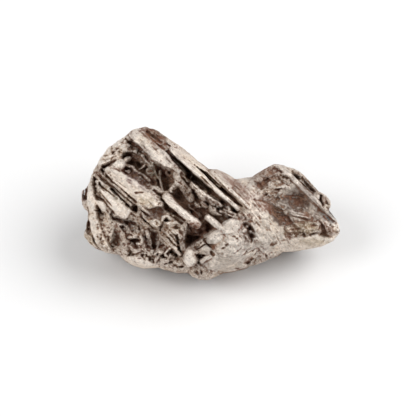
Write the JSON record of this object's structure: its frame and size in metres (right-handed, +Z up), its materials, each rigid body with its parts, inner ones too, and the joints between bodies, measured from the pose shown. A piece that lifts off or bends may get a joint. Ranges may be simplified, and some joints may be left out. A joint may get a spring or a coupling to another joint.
{
  "type": "iron meteorite",
  "caption": "Broken lump of coarsely banded nickel-iron with plates, bars and deep cavities on its open face, resting on worn flats.",
  "frame": {"origin": "middle of the lump's bounding box in plan, on the plane that its worn flats rest on", "axes": "+X along the lump towards its low tail, +Y towards its back, away from the open face, +Z up as it rests"},
  "size_m": [0.052, 0.03, 0.0269],
  "materials": {
    "meteoritic_iron": "bare nickel-iron, worn satin on the ridges, with dark brown weathering in the hollows"
  },
  "bodies": {
    "root": {"meteorite": "meteoritic_iron"}
  },
  "joints": []
}
